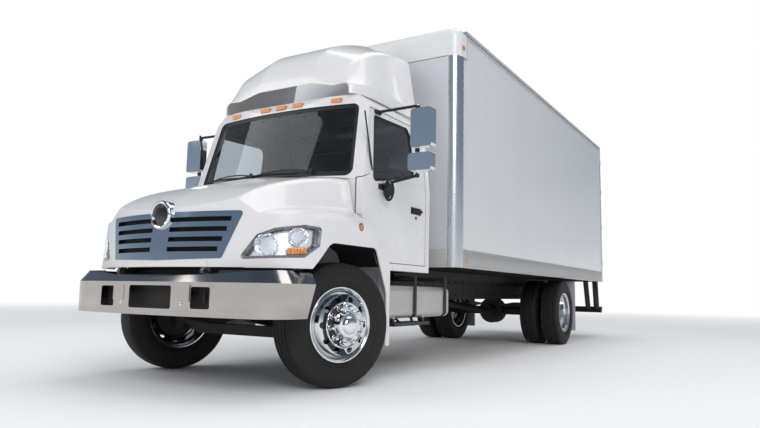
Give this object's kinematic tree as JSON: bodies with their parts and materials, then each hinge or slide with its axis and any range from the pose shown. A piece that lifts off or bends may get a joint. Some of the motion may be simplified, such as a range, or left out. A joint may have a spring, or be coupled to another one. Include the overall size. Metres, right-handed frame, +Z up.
{
  "type": "box truck",
  "caption": "Box truck with a bonneted day cab, roof fairing, tall van body with rear swing doors, and twin rear wheels.",
  "frame": {"origin": "on the road at the middle of the overall length and width", "axes": "+Z up, front of the truck towards -Y, the truck's left side towards +X"},
  "size_m": [3.068, 9.805, 3.6919],
  "materials": {
    "frame_paint": "satin",
    "engine_grey": "satin",
    "white_paint": "gloss",
    "body_white": "gloss",
    "bare_aluminium": "brushed",
    "polished_wheel": "polished",
    "bright_chrome": "polished",
    "tyre_rubber": "matt",
    "black_plastic": "matt",
    "seat_cloth": "woven",
    "tinted_glass": "gloss",
    "clear_lens": "gloss",
    "amber_lens": "gloss",
    "deck_wood": "oiled"
  },
  "bodies": {
    "chassis": {"chassis_frame": "frame_paint", "engine_block": "engine_grey", "radiator": "frame_paint", "front_axle": "frame_paint", "leaf_springs": "frame_paint", "rear_axle": "frame_paint", "prop_shaft": "frame_paint", "fuel_tank": "bare_aluminium", "battery_box": "frame_paint", "exhaust": "frame_paint", "mud_flaps": "black_plastic", "front_bumper": "bright_chrome", "cab_shell": "white_paint", "cab_glass": "tinted_glass", "dashboard": "black_plastic", "seats": "seat_cloth", "roof_fairing": "white_paint", "lamps": "amber_lens", "load_floor": "deck_wood", "load_front_wall": "body_white", "load_side_walls": "body_white", "load_roof": "body_white", "load_rails": "bare_aluminium", "rear_frame": "bare_aluminium", "rear_step": "frame_paint", "cab_arch_liners": "black_plastic"},
    "hood": {"hood_shell": "white_paint", "grille": "bright_chrome", "headlamps": "clear_lens", "arch_liners": "black_plastic"},
    "door_left": {"door_left": "white_paint", "door_glass_left": "tinted_glass", "mirror_left": "bright_chrome"},
    "door_right": {"door_right": "white_paint", "door_glass_right": "tinted_glass", "mirror_right": "bright_chrome"},
    "knuckle_left": {"knuckle_left": "frame_paint"},
    "knuckle_right": {"knuckle_right": "frame_paint"},
    "tie_rod": {"tie_rod": "frame_paint"},
    "front_wheel_left": {"front_wheel_left": "polished_wheel", "front_tyre_left": "tyre_rubber"},
    "front_wheel_right": {"front_wheel_right": "polished_wheel", "front_tyre_right": "tyre_rubber"},
    "rear_wheels_left": {"rear_wheels_left": "polished_wheel", "rear_tyres_left": "tyre_rubber"},
    "rear_wheels_right": {"rear_wheels_right": "polished_wheel", "rear_tyres_right": "tyre_rubber"},
    "rear_door_left": {"rear_door_left": "body_white"},
    "rear_door_right": {"rear_door_right": "body_white"}
  },
  "joints": [
    {"name": "steer_left", "type": "hinge", "parent": "chassis", "child": "knuckle_left", "pos_m": [0.85, -3.8175, 0.48], "axis": [0, 0, 1], "range_deg": [-21.7, 58.3]},
    {"name": "steer_right", "type": "hinge", "parent": "chassis", "child": "knuckle_right", "pos_m": [-0.85, -3.8175, 0.48], "axis": [0, 0, 1], "range_deg": [-21.7, 58.3]},
    {"name": "tie_rod_swing", "type": "hinge", "parent": "knuckle_left", "child": "tie_rod", "pos_m": [0.90966, -3.63711, 0.379], "axis": [0, 0, 1], "range_deg": [-58.3, 21.7]},
    {"name": "front_wheel_left_spin", "type": "hinge", "parent": "knuckle_left", "child": "front_wheel_left", "pos_m": [0.95729, -3.85298, 0.5], "axis": [0.9494, -0.314, 0], "continuous": true},
    {"name": "front_wheel_right_spin", "type": "hinge", "parent": "knuckle_right", "child": "front_wheel_right", "pos_m": [-0.95729, -3.78202, 0.5], "axis": [0.9494, -0.314, 0], "continuous": true},
    {"name": "rear_wheels_left_spin", "type": "hinge", "parent": "chassis", "child": "rear_wheels_left", "pos_m": [0.912, 2.1515, 0.5], "axis": [1, 0, 0], "continuous": true},
    {"name": "rear_wheels_right_spin", "type": "hinge", "parent": "chassis", "child": "rear_wheels_right", "pos_m": [-0.912, 2.1515, 0.5], "axis": [1, 0, 0], "continuous": true},
    {"name": "hood_tilt", "type": "hinge", "parent": "chassis", "child": "hood", "pos_m": [0, -4.8025, 0.893], "axis": [1, 0, 0], "range_deg": [0, 60]},
    {"name": "door_left_swing", "type": "hinge", "parent": "chassis", "child": "door_left", "pos_m": [1.024, -3.5235, 1.6], "axis": [0, 0, -1], "range_deg": [0, 70]},
    {"name": "door_right_swing", "type": "hinge", "parent": "chassis", "child": "door_right", "pos_m": [-1.024, -3.5235, 1.6], "axis": [0, 0, 1], "range_deg": [0, 70]},
    {"name": "rear_door_left_swing", "type": "hinge", "parent": "chassis", "child": "rear_door_left", "pos_m": [1.205, 4.8345, 2.4], "axis": [0, 0, -1], "range_deg": [0, 265]},
    {"name": "rear_door_right_swing", "type": "hinge", "parent": "chassis", "child": "rear_door_right", "pos_m": [-1.205, 4.8345, 2.4], "axis": [0, 0, 1], "range_deg": [0, 265]}
  ],
  "couplings": [
    {"joint": "steer_right", "follows": "steer_left", "ratio": 1},
    {"joint": "tie_rod_swing", "follows": "steer_left", "ratio": -1}
  ]
}
